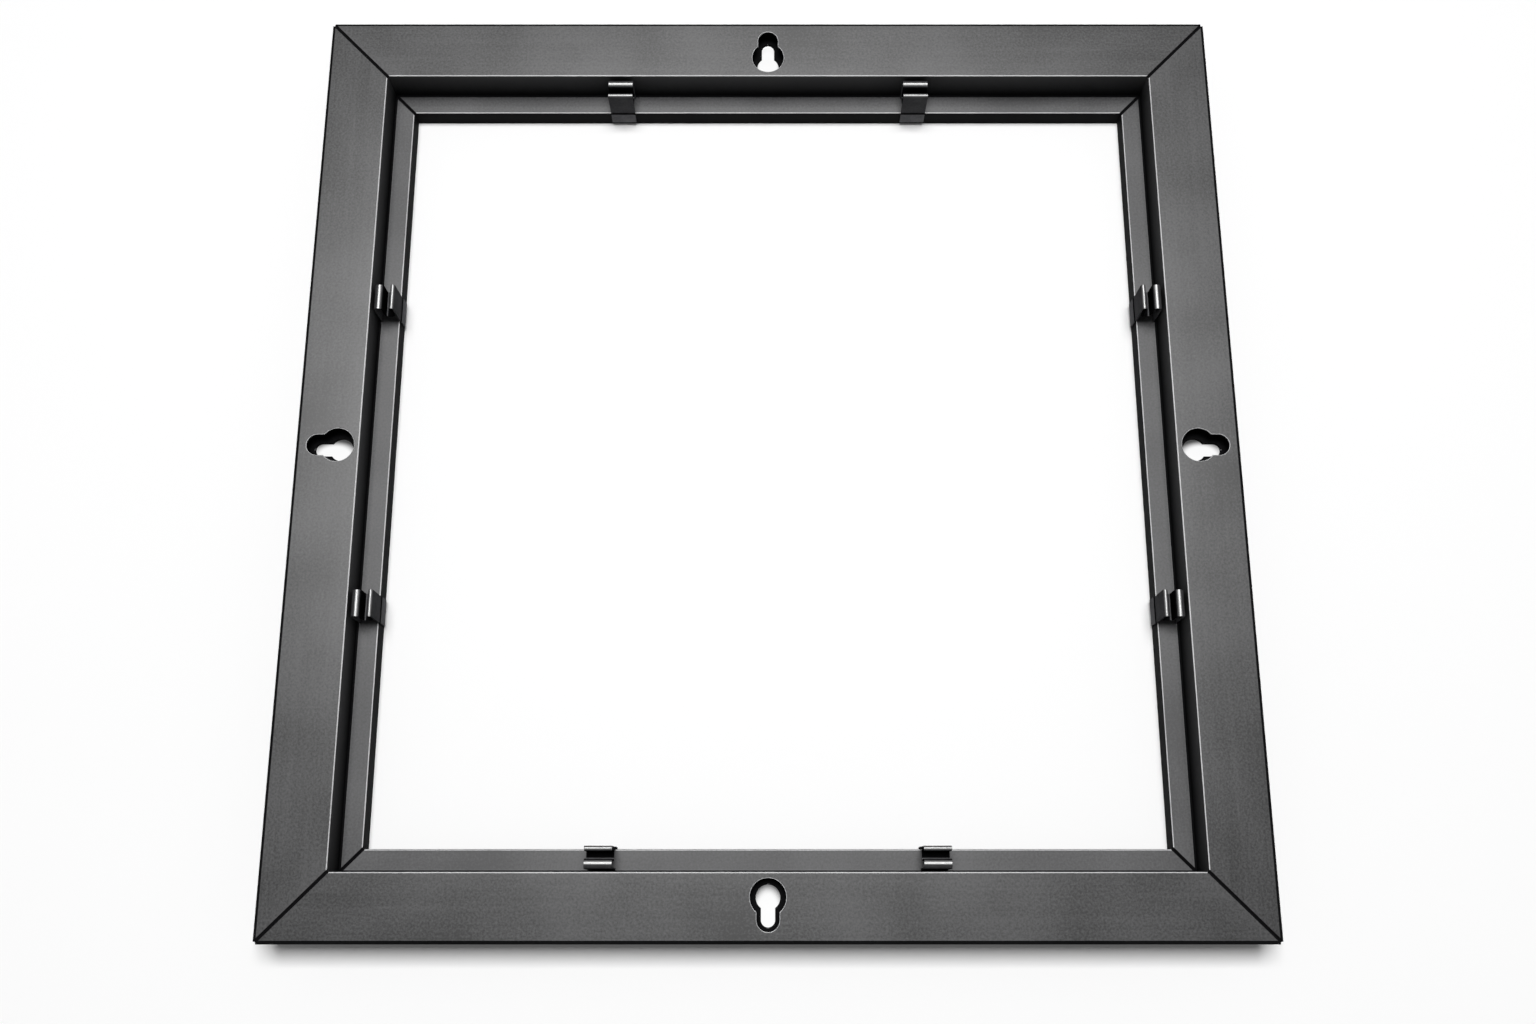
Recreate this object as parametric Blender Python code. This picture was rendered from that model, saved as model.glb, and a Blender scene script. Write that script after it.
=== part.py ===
"""Square metal record frame, lying on its front with the hanging side up.

Four mitred rails share one extruded section: a shallow box that makes the flat border, a wall
that steps down past a narrow ledge to the front edge, and a lip round the sight opening.
L-shaped keys in the boxes join the corners, each held by two screws through the web from below.
Every rail has a stepped keyhole for hanging and two bent spring clips hooked through its lip.

Units are metres, +Z points out of the hanging side and +Y to the top rail.  Inside one rail,
u runs inward from the outer edge and z up from the front edge.
"""
import math

import bmesh
import bpy
from mathutils import Vector

MM = 0.001

# What the frame takes, and its plan
SLEEVE_SIZE = 315.0 * MM          # square record sleeve
SLEEVE_PLAY = 5.0 * MM            # total free space across the rebate
BORDER_WIDTH = 25.0 * MM          # flat border of one rail
LEDGE_WIDTH = 8.5 * MM            # ledge that carries the sleeve

# Rail section
RAIL_HEIGHT = 28.0 * MM           # front edge to hanging face
STEP_DEPTH = 18.0 * MM            # hanging face to ledge
WEB_DEPTH = 8.2 * MM              # hanging face to the web's upper face
WALL = 1.6 * MM                   # thickness of every wall of the extrusion
EDGE_RADIUS = 0.6 * MM            # rounded long edges
FOOT_RADIUS = 0.5 * MM            # inner round where the step wall meets the ledge
MITRE_GAP = 0.36 * MM             # joint line between two rails
MITRE_CHAMFER = 0.25 * MM         # broken edge along each mitre cut

# Keyholes: a wide recess in the hanging face over a narrow latch hole in the web
RECESS_HEAD_DIAMETER = 13.2 * MM
RECESS_SLOT_WIDTH = 8.3 * MM
LATCH_HEAD_DIAMETER = 9.0 * MM
LATCH_SLOT_WIDTH = 5.2 * MM
KEYHOLE_TRAVEL = 7.8 * MM         # head centre to slot end centre
KEYHOLE_SHIFT = 1.0 * MM          # recess centre inward of the border's middle
KEYHOLE_CHAMFER = 0.3 * MM

# Corner keys and their screws
KEY_ARM = 50.0 * MM               # outer corner of the frame to the tip of an arm
KEY_PLAY = 0.3 * MM               # gap between a key and the chamber walls
KEY_TIP_RADIUS = 3.0 * MM
KEY_BEND_RADIUS = 1.5 * MM
SCREW_OFFSET = 36.0 * MM          # outer corner to screw axis along the rail
SCREW_DIAMETER = 4.0 * MM
SCREW_PLAY = 0.3 * MM             # gap round the shank and under the head
SCREW_HEAD_DIAMETER = 7.4 * MM
SCREW_HEAD_HEIGHT = 2.2 * MM
SCREW_SOCKET = 2.5 * MM           # across the flats of the hexagon
SCREW_SOCKET_DEPTH = 1.2 * MM
SCREW_TIP_INSET = 0.5 * MM        # screw tip below the key's upper face

# Spring clips, bent from flat strip
CLIP_SPACING = 124.0 * MM         # between the two clips of one rail
CLIP_WIDTH = 10.3 * MM
CLIP_STRIP = 0.6 * MM             # strip thickness
CLIP_PLAY = 0.3 * MM              # gap between a clip and the rail
CLIP_CREST_HEIGHT = 17.0 * MM     # top of both crests above the ledge
CLIP_VALLEY_HEIGHT = 7.0 * MM     # underside of the valley above the ledge
CLIP_WALL_GAP = 1.0 * MM          # outer arm to step wall
CLIP_OUTER_BEND = 1.5 * MM        # mean radius of the broad outer crest
CLIP_INNER_BEND = 0.6 * MM        # mean radius of the tight inner crest
CLIP_VALLEY_BEND = 0.8 * MM
CLIP_JOGGLE = 0.3 * MM            # sideways step of the leg over the lip's edge
CLIP_JOGGLE_RISE = 1.0 * MM
CLIP_HOOK_LIFT = 2.8 * MM         # middle of the hook above the front edge
CLIP_HOOK_GAP = 0.5 * MM          # upturned tip to the back of the lip
CLIP_HOOK_RISE = 1.2 * MM         # height of the upturned tip
CLIP_HOOK_BEND = 0.5 * MM

# Faceting and cutter overlap
ARC_STEP = math.radians(24.0)
ROUND_STEPS = 32
SCREW_STEPS = 20
OVERCUT = 0.5 * MM

# Worked out from the sizes above
REBATE = SLEEVE_SIZE + SLEEVE_PLAY
FRAME_SIZE = REBATE + 2.0 * BORDER_WIDTH
HALF = FRAME_SIZE / 2.0
LIP_FACE = BORDER_WIDTH + LEDGE_WIDTH
LEDGE_Z = RAIL_HEIGHT - STEP_DEPTH
WEB_TOP_Z = RAIL_HEIGHT - WEB_DEPTH
WEB_BOTTOM_Z = WEB_TOP_Z - WALL
CHAMBER_TOP_Z = RAIL_HEIGHT - WALL
KEY_BOTTOM_Z = WEB_TOP_Z + KEY_PLAY
KEY_TOP_Z = CHAMBER_TOP_Z - KEY_PLAY
SCREW_HOLE_DIAMETER = SCREW_DIAMETER + 2.0 * SCREW_PLAY
HINGE_U = LIP_FACE - WALL / 2.0
HINGE_Z = CLIP_HOOK_LIFT

SIDES = ("top", "left", "bottom", "right")
CORNERS = ("bottom_left", "bottom_right", "top_right", "top_left")
QUARTER_TURN = math.pi / 2.0


def clear_scene():
    """Remove every object, so that the model starts from nothing."""
    for obj in list(bpy.data.objects):
        bpy.data.objects.remove(obj, do_unlink=True)


def make_material(name, colour, roughness, metallic):
    """Return a Principled material with one even colour."""
    material = bpy.data.materials.new(name)
    material.use_nodes = True
    shader = material.node_tree.nodes["Principled BSDF"]
    shader.inputs["Base Color"].default_value = (*colour, 1.0)
    shader.inputs["Roughness"].default_value = roughness
    shader.inputs["Metallic"].default_value = metallic
    return material


def add_empty(name, location, turn):
    """Return an empty at a place in plan, turned about +Z."""
    empty = bpy.data.objects.new(name, None)
    bpy.context.collection.objects.link(empty)
    empty.empty_display_size = 10.0 * MM
    empty.location = location
    empty.rotation_euler = (0.0, 0.0, turn)
    return empty


def add_piece(name, mesh, material, parent=None, location=(0.0, 0.0, 0.0)):
    """Return a named object that shows the mesh in its material."""
    obj = bpy.data.objects.new(name, mesh)
    bpy.context.collection.objects.link(obj)
    if not mesh.materials:
        mesh.materials.append(material)
    obj.parent = parent
    obj.location = location
    return obj


def mesh_from(bm, name):
    """Turn a bmesh with closed shells into a mesh whose faces point out."""
    bmesh.ops.recalc_face_normals(bm, faces=bm.faces)
    mesh = bpy.data.meshes.new(name)
    bm.to_mesh(mesh)
    bm.free()
    return mesh


def baked(obj, name):
    """Return the object's mesh with its modifiers, and remove the object."""
    bpy.context.view_layer.update()
    graph = bpy.context.evaluated_depsgraph_get()
    mesh = bpy.data.meshes.new_from_object(obj.evaluated_get(graph))
    mesh.name = name
    bpy.data.objects.remove(obj, do_unlink=True)
    return mesh


def cut(mesh, cutter_mesh, material):
    """Return the mesh less the shells of the cutter mesh."""
    name = mesh.name
    blank = add_piece(name + "_blank", mesh, material)
    cutter = add_piece(name + "_cutter", cutter_mesh, material)
    cutter.hide_render = True
    cutter.display_type = "WIRE"
    boolean = blank.modifiers.new("cut", "BOOLEAN")
    boolean.operation = "DIFFERENCE"
    boolean.solver = "EXACT"
    boolean.object = cutter
    result = baked(blank, name)
    bpy.data.objects.remove(cutter, do_unlink=True)
    return result


def shade(mesh, angle):
    """Shade smooth, with edges sharper than the angle kept crisp."""
    mesh.shade_smooth()
    mesh.set_sharp_from_angle(angle=angle)


def rounded(points, closed):
    """Return a path whose corners are arcs.

    Each point is (a, b, radius).  An arc is limited to half of its shorter side.
    """
    path = []
    count = len(points)
    for i, (a, b, radius) in enumerate(points):
        corner = Vector((a, b))
        is_end = not closed and i in (0, count - 1)
        if is_end or radius <= 0.0:
            path.append(corner)
            continue
        before = Vector(points[i - 1][:2]) - corner
        after = Vector(points[(i + 1) % count][:2]) - corner
        half = before.angle(after) / 2.0
        reach = min(radius / math.tan(half), before.length / 2.0, after.length / 2.0)
        radius = reach * math.tan(half)
        centre = corner + (before.normalized() + after.normalized()).normalized() * radius / math.sin(half)
        start = corner + before.normalized() * reach - centre
        sweep = start.angle_signed(corner + after.normalized() * reach - centre)
        steps = max(2, math.ceil(abs(sweep) / ARC_STEP))
        for step in range(steps + 1):
            angle = -sweep * step / steps
            turned = Vector((start.x * math.cos(angle) - start.y * math.sin(angle),
                             start.x * math.sin(angle) + start.y * math.cos(angle)))
            path.append(centre + turned)
    return path


def rail_section():
    """Return the rail's outline and its chamber as loops of (u, z)."""
    outline = rounded([
        (0.0, WEB_BOTTOM_Z, EDGE_RADIUS),
        (0.0, RAIL_HEIGHT, EDGE_RADIUS),
        (BORDER_WIDTH, RAIL_HEIGHT, EDGE_RADIUS),
        (BORDER_WIDTH, LEDGE_Z, FOOT_RADIUS),
        (LIP_FACE, LEDGE_Z, EDGE_RADIUS),
        (LIP_FACE, 0.0, 0.0),
        (LIP_FACE - WALL, 0.0, 0.0),
        (LIP_FACE - WALL, LEDGE_Z - WALL, 0.0),
        (BORDER_WIDTH, LEDGE_Z - WALL, 0.0),
        (BORDER_WIDTH, 0.0, 0.0),
        (BORDER_WIDTH - WALL, 0.0, 0.0),
        (BORDER_WIDTH - WALL, WEB_BOTTOM_Z, 0.0),
    ], closed=True)
    chamber = rounded([
        (WALL, WEB_TOP_Z, 0.0),
        (BORDER_WIDTH - WALL, WEB_TOP_Z, 0.0),
        (BORDER_WIDTH - WALL, CHAMBER_TOP_Z, 0.0),
        (WALL, CHAMBER_TOP_Z, 0.0),
    ], closed=True)
    return outline, chamber


def keyhole_outline(head_diameter, slot_width, growth):
    """Return a keyhole as (x, y) round its head centre, with the slot toward +Y."""
    head = head_diameter / 2.0 + growth
    slot = slot_width / 2.0 + growth
    opening = math.asin(slot / head)
    points = []
    for step in range(ROUND_STEPS + 1):
        angle = opening + (2.0 * math.pi - 2.0 * opening) * step / ROUND_STEPS
        points.append((head * math.sin(angle), head * math.cos(angle)))
    half_steps = ROUND_STEPS // 2
    for step in range(half_steps + 1):
        angle = -QUARTER_TURN + math.pi * step / half_steps
        points.append((slot * math.sin(angle), KEYHOLE_TRAVEL + slot * math.cos(angle)))
    return points


def add_loft(bm, levels):
    """Add a closed shell through outlines of equal length, each given as (z, points)."""
    rings = [[bm.verts.new((x, y, z)) for x, y in points] for z, points in levels]
    for low, high in zip(rings, rings[1:]):
        for i in range(len(low)):
            j = (i + 1) % len(low)
            bm.faces.new((low[i], low[j], high[j], high[i]))
    bm.faces.new(rings[0])
    bm.faces.new(rings[-1])


def rectangle(x_low, x_high, y_low, y_high):
    """Return the corners of a rectangle in plan."""
    return [(x_low, y_low), (x_high, y_low), (x_high, y_high), (x_low, y_high)]


def circle(diameter, steps, x=0.0, y=0.0):
    """Return points round a circle in plan."""
    turn = 2.0 * math.pi / steps
    radius = diameter / 2.0
    return [(x + radius * math.cos(i * turn), y + radius * math.sin(i * turn)) for i in range(steps)]


def keyhole_levels(head_diameter, slot_width, face_z, under_z):
    """Return the levels of a cutter that opens with a chamfer at its upper face."""
    def level(z, growth):
        points = keyhole_outline(head_diameter, slot_width, growth)
        recess_length = RECESS_HEAD_DIAMETER / 2.0 + KEYHOLE_TRAVEL + RECESS_SLOT_WIDTH / 2.0
        head_u = BORDER_WIDTH / 2.0 + KEYHOLE_SHIFT + recess_length / 2.0 - RECESS_HEAD_DIAMETER / 2.0
        return z, [(x, y - head_u) for x, y in points]
    return [
        level(under_z - OVERCUT, 0.0),
        level(face_z - KEYHOLE_CHAMFER, 0.0),
        level(face_z + OVERCUT, KEYHOLE_CHAMFER + OVERCUT),
    ]


def rail_mesh(material):
    """Return one rail along X, with its outer edge on Y = 0 and its front edge on Z = 0."""
    bm = bmesh.new()
    setback = (MITRE_GAP / 2.0 + MITRE_CHAMFER) * math.sqrt(2.0)
    near_to_far = {}
    boundary = []
    for loop in rail_section():
        near = [bm.verts.new((u + setback - HALF, -u, z)) for u, z in loop]
        far = [bm.verts.new((HALF - setback - u, -u, z)) for u, z in loop]
        near_to_far.update(zip(near, far))
        for i in range(len(loop)):
            j = (i + 1) % len(loop)
            bm.faces.new((near[i], near[j], far[j], far[i]))
            boundary.append(bm.edges.get((near[i], near[j])))
    filled = bmesh.ops.triangle_fill(bm, edges=boundary, use_beauty=True)
    ends = [item for item in filled["geom"] if isinstance(item, bmesh.types.BMFace)]
    ends += [bm.faces.new([near_to_far[vert] for vert in reversed(face.verts)]) for face in list(ends)]
    bmesh.ops.recalc_face_normals(bm, faces=bm.faces)
    bmesh.ops.inset_region(bm, faces=ends, use_boundary=True, use_even_offset=True,
                           thickness=MITRE_CHAMFER, depth=MITRE_CHAMFER)
    blank = mesh_from(bm, "rail")

    holes = bmesh.new()
    add_loft(holes, keyhole_levels(RECESS_HEAD_DIAMETER, RECESS_SLOT_WIDTH, RAIL_HEIGHT, CHAMBER_TOP_Z))
    add_loft(holes, keyhole_levels(LATCH_HEAD_DIAMETER, LATCH_SLOT_WIDTH, WEB_TOP_Z, WEB_BOTTOM_Z))
    for x in (SCREW_OFFSET - HALF, HALF - SCREW_OFFSET):
        ring = circle(SCREW_HOLE_DIAMETER, SCREW_STEPS, x, -BORDER_WIDTH / 2.0)
        add_loft(holes, [(WEB_BOTTOM_Z - OVERCUT, ring), (WEB_TOP_Z + OVERCUT, ring)])
    slot_half_width = CLIP_WIDTH / 2.0 + CLIP_PLAY
    slot_half_height = CLIP_STRIP / 2.0 + CLIP_PLAY
    for x in (-CLIP_SPACING / 2.0, CLIP_SPACING / 2.0):
        slot = rectangle(x - slot_half_width, x + slot_half_width,
                         -LIP_FACE - OVERCUT, WALL - LIP_FACE + OVERCUT)
        add_loft(holes, [(HINGE_Z - slot_half_height, slot), (HINGE_Z + slot_half_height, slot)])
    mesh = cut(blank, mesh_from(holes, "rail_holes"), material)
    shade(mesh, math.radians(30.0))
    return mesh


def corner_key_mesh(material):
    """Return an L-shaped key in plan, measured from the frame's outer corner."""
    low = WALL + KEY_PLAY
    high = BORDER_WIDTH - WALL - KEY_PLAY
    outline = rounded([
        (low, low, KEY_BEND_RADIUS),
        (KEY_ARM, low, KEY_TIP_RADIUS),
        (KEY_ARM, high, KEY_TIP_RADIUS),
        (high, high, KEY_BEND_RADIUS),
        (high, KEY_ARM, KEY_TIP_RADIUS),
        (low, KEY_ARM, KEY_TIP_RADIUS),
    ], closed=True)
    bm = bmesh.new()
    add_loft(bm, [(KEY_BOTTOM_Z, outline), (KEY_TOP_Z, outline)])
    blank = mesh_from(bm, "corner_key")

    holes = bmesh.new()
    middle = BORDER_WIDTH / 2.0
    for x, y in ((SCREW_OFFSET, middle), (middle, SCREW_OFFSET)):
        ring = circle(SCREW_HOLE_DIAMETER, SCREW_STEPS, x, y)
        add_loft(holes, [(KEY_BOTTOM_Z - OVERCUT, ring), (KEY_TOP_Z + OVERCUT, ring)])
    mesh = cut(blank, mesh_from(holes, "corner_key_holes"), material)
    shade(mesh, math.radians(30.0))
    return mesh


def key_screw_mesh(material):
    """Return a socket screw on the Z axis, head down, with the web's underside at Z = 0."""
    head_top = -SCREW_PLAY
    head_bottom = head_top - SCREW_HEAD_HEIGHT
    tip = KEY_TOP_Z - SCREW_TIP_INSET - WEB_BOTTOM_Z
    edge = SCREW_HEAD_HEIGHT / 4.0
    shank = circle(SCREW_DIAMETER, SCREW_STEPS)
    head = circle(SCREW_HEAD_DIAMETER, SCREW_STEPS)
    bm = bmesh.new()
    add_loft(bm, [
        (head_bottom, circle(SCREW_HEAD_DIAMETER - 2.0 * edge, SCREW_STEPS)),
        (head_bottom + edge, head),
        (head_top, head),
        (head_top, shank),
        (tip, shank),
    ])
    blank = mesh_from(bm, "key_screw")

    holes = bmesh.new()
    hexagon = circle(SCREW_SOCKET / math.cos(math.pi / 6.0), 6)
    add_loft(holes, [(head_bottom - OVERCUT, hexagon), (head_bottom + SCREW_SOCKET_DEPTH, hexagon)])
    mesh = cut(blank, mesh_from(holes, "key_screw_socket"), material)
    shade(mesh, math.radians(30.0))
    return mesh


def clip_path():
    """Return the strip's middle line as (u, z), from the foot on the ledge to the hook's tip."""
    half_strip = CLIP_STRIP / 2.0
    foot_u = BORDER_WIDTH + CLIP_WALL_GAP + half_strip
    crest_z = LEDGE_Z + CLIP_CREST_HEIGHT - half_strip
    valley_z = LEDGE_Z + CLIP_VALLEY_HEIGHT + half_strip
    lip_u = LIP_FACE + CLIP_PLAY + half_strip
    leg_u = lip_u - CLIP_JOGGLE
    joggle_z = LEDGE_Z + 2.0 * CLIP_PLAY
    inner_u = leg_u - 2.0 * CLIP_INNER_BEND
    outer_u = foot_u + 2.0 * CLIP_OUTER_BEND
    tip_u = LIP_FACE - WALL - CLIP_HOOK_GAP - half_strip
    return rounded([
        (foot_u, LEDGE_Z + CLIP_PLAY, 0.0),
        (foot_u, crest_z, CLIP_OUTER_BEND),
        (outer_u, crest_z, CLIP_OUTER_BEND),
        (outer_u, valley_z, CLIP_VALLEY_BEND),
        (inner_u, valley_z, CLIP_VALLEY_BEND),
        (inner_u, crest_z, CLIP_INNER_BEND),
        (leg_u, crest_z, CLIP_INNER_BEND),
        (leg_u, joggle_z + CLIP_JOGGLE_RISE, CLIP_JOGGLE),
        (lip_u, joggle_z, CLIP_JOGGLE),
        (lip_u, HINGE_Z, CLIP_HOOK_BEND),
        (tip_u, HINGE_Z, CLIP_HOOK_BEND),
        (tip_u, HINGE_Z + CLIP_HOOK_RISE, 0.0),
    ], closed=False)


def spring_clip_mesh(material):
    """Return one clip round its hinge line, which runs along X through the slot in the lip."""
    bm = bmesh.new()
    rows = []
    for u, z in clip_path():
        rows.append([bm.verts.new((x, HINGE_U - u, z - HINGE_Z))
                     for x in (-CLIP_WIDTH / 2.0, CLIP_WIDTH / 2.0)])
    for low, high in zip(rows, rows[1:]):
        bm.faces.new((low[0], low[1], high[1], high[0]))
    strip = add_piece("spring_clip_strip", mesh_from(bm, "spring_clip_strip"), material)
    solidify = strip.modifiers.new("strip", "SOLIDIFY")
    solidify.thickness = CLIP_STRIP
    solidify.offset = 0.0
    solidify.use_even_offset = True
    solidify.use_quality_normals = True
    mesh = baked(strip, "spring_clip")
    shade(mesh, math.radians(40.0))
    return mesh


def build_sides(rail_material, clip_material):
    """Place a rail and its two clips on each side of the frame."""
    rail = rail_mesh(rail_material)
    clip = spring_clip_mesh(clip_material)
    clip_names = {
        "top": ("spring_clip_top_left", "spring_clip_top_right"),
        "left": ("spring_clip_left_lower", "spring_clip_left_upper"),
        "bottom": ("spring_clip_bottom_right", "spring_clip_bottom_left"),
        "right": ("spring_clip_right_upper", "spring_clip_right_lower"),
    }
    for turn, side in enumerate(SIDES):
        empty = add_empty("side_" + side, (0.0, 0.0, 0.0), turn * QUARTER_TURN)
        add_piece("rail_" + side, rail, rail_material, empty, (0.0, HALF, 0.0))
        for name, x in zip(clip_names[side], (-CLIP_SPACING / 2.0, CLIP_SPACING / 2.0)):
            add_piece(name, clip, clip_material, empty, (x, HALF - HINGE_U, HINGE_Z))


def build_corners(key_material, screw_material):
    """Place a key and its two screws in each corner of the frame."""
    key = corner_key_mesh(key_material)
    screw = key_screw_mesh(screw_material)
    arm_sides = {
        "bottom_left": ("bottom", "left"),
        "bottom_right": ("right", "bottom"),
        "top_right": ("top", "right"),
        "top_left": ("left", "top"),
    }
    middle = BORDER_WIDTH / 2.0
    for turn, corner in enumerate(CORNERS):
        angle = turn * QUARTER_TURN
        x = -HALF * math.cos(angle) + HALF * math.sin(angle)
        y = -HALF * math.sin(angle) - HALF * math.cos(angle)
        empty = add_empty("corner_" + corner, (x, y, 0.0), angle)
        add_piece("corner_key_" + corner, key, key_material, empty)
        places = ((SCREW_OFFSET, middle, WEB_BOTTOM_Z), (middle, SCREW_OFFSET, WEB_BOTTOM_Z))
        for side, place in zip(arm_sides[corner], places):
            add_piece("key_screw_" + corner + "_" + side, screw, screw_material, empty, place)


def main():
    clear_scene()
    rail_material = make_material("black_coated_aluminium", (0.030, 0.030, 0.032), 0.45, 0.0)
    clip_material = make_material("black_spring_steel", (0.012, 0.012, 0.013), 0.25, 0.3)
    key_material = make_material("cast_zinc", (0.42, 0.42, 0.43), 0.5, 0.9)
    screw_material = make_material("zinc_plated_steel", (0.60, 0.60, 0.62), 0.3, 1.0)
    build_sides(rail_material, clip_material)
    build_corners(key_material, screw_material)


main()
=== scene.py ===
"""Looks of a square metal record frame that lies with its hanging side up.

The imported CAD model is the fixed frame.  Rails, clips and screws get finer meshes in the places of
their CAD nodes, the corner keys keep their CAD shape, and every surface gets its own finish.

Lengths are metres, +Z points out of the hanging side and +Y to the top rail.  Inside one rail, u
runs inward from the outer edge and z up from the front edge.
"""
import logging
import math
from dataclasses import dataclass, field, replace
from enum import Enum
from typing import Any, Iterable, Sequence

import bmesh
import bpy
from mathutils import Matrix, Vector

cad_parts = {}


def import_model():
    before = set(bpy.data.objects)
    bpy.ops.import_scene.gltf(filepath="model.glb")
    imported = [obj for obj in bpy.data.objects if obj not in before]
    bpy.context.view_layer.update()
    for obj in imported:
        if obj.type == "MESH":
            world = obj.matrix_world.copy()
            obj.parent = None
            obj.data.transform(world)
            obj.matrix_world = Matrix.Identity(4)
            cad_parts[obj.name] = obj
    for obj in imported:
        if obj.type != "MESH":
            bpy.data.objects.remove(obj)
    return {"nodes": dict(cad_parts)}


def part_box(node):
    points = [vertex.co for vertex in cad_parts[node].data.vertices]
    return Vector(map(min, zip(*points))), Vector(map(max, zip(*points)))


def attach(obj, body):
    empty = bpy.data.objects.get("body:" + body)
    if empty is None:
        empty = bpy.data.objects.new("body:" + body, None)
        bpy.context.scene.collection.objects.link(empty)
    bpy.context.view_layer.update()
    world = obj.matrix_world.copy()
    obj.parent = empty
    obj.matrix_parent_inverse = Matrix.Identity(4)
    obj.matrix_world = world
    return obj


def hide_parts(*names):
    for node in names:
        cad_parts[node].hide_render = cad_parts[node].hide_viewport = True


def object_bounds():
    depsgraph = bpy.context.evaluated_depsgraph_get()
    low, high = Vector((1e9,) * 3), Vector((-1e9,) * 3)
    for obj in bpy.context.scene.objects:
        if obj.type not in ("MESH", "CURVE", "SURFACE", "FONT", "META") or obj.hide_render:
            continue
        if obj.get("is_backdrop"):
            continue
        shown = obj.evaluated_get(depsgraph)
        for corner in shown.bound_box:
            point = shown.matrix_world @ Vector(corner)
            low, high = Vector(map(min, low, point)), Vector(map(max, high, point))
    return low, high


Outline = Sequence[tuple[float, float]]   # points in plan
Level = tuple[float, Outline]             # an outline at its height
Sockets = tuple[bpy.types.NodeSocket, bpy.types.NodeSocket]

MM = 0.001
QUARTER_TURN = math.pi / 2.0
ARC_STEPS = 6                     # straight pieces in the quarter round of a rim
NOISE_RANGE = (0.3, 0.7)          # where most of a noise pattern lies
NOISE_SUM_RANGE = (0.8, 1.2)      # the middle of two patterns added together
RELIEF_DEPTH = 0.05 * MM          # height of the relief in every finish
PLAIN_WHITE = "#ffffff"
LOG = logging.getLogger("record_frame")


class Side(Enum):
    """The four rails, with the quarter turns that take the top rail to each."""

    TOP = 0
    LEFT = 1
    BOTTOM = 2
    RIGHT = 3

    @property
    def label(self) -> str:
        """The side's name as it stands in the CAD nodes."""
        return self.name.lower()

    @property
    def turn(self) -> Matrix:
        """The rotation about +Z from the top rail to this one."""
        return Matrix.Rotation(self.value * QUARTER_TURN, 4, "Z")


class RailFace(Enum):
    """The finishes on one rail, in the order of its material slots."""

    FLAT = 0      # upper face of the border
    LEDGE = 1
    WALL = 2      # painted shade: walls, undersides, grooves, the step's foot and the outer edge
    EDGE = 3
    STEP = 4      # wall between the border and the ledge


class ClipFace(Enum):
    """The finishes on one clip, in the order of its material slots."""

    STRIP = 0
    BEND = 1
    FOLD = 2
    PAINTED_LIGHT = 3


def linear(colour: str) -> tuple[float, float, float, float]:
    """Turn an sRGB hex colour into linear light.

    Args:
        colour: Six hex digits after a hash sign.

    Returns:
        Red, green, blue and an alpha of 1.
    """
    parts = [int(colour[i:i + 2], 16) / 255.0 for i in (1, 3, 5)]
    light = [c / 12.92 if c <= 0.04045 else ((c + 0.055) / 1.055) ** 2.4 for c in parts]
    return light[0], light[1], light[2], 1.0


def add_node(tree: bpy.types.NodeTree, kind: str, inputs: dict[Any, Any],
             **settings: Any) -> bpy.types.Node:
    """Add one node to a tree.

    Args:
        tree: The node tree of a material or the world.
        kind: The node's type name.
        inputs: Values and output sockets by the name or number of the input they go to.
        settings: The node's own properties.

    Returns:
        The new node.
    """
    node = tree.nodes.new(kind)
    for name, value in settings.items():
        setattr(node, name, value)
    for key, value in inputs.items():
        if isinstance(value, bpy.types.NodeSocket):
            tree.links.new(value, node.inputs[key])
        else:
            node.inputs[key].default_value = value
    return node


def add_seen(tree: bpy.types.NodeTree) -> bpy.types.NodeSocket:
    """Tell where a surface is seen directly, in a gloss or through glass.

    Args:
        tree: The node tree of a material or the world.

    Returns:
        A socket that is 1 where the surface is seen and 0 where it only lights others.
    """
    path = add_node(tree, "ShaderNodeLightPath", {})
    seen = path.outputs["Is Camera Ray"]
    for ray in ("Is Glossy Ray", "Is Transmission Ray"):
        either = add_node(tree, "ShaderNodeMath", {0: seen, 1: path.outputs[ray]},
                          operation="MAXIMUM")
        seen = either.outputs["Value"]
    return seen


def fresh_material(name: str) -> tuple[bpy.types.Material, bpy.types.NodeTree]:
    """Make a material with an empty node tree.

    Args:
        name: The material's name.

    Returns:
        The material and its tree.
    """
    material = bpy.data.materials.new(name)
    material.use_nodes = True
    material.node_tree.nodes.clear()
    return material, material.node_tree


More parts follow.
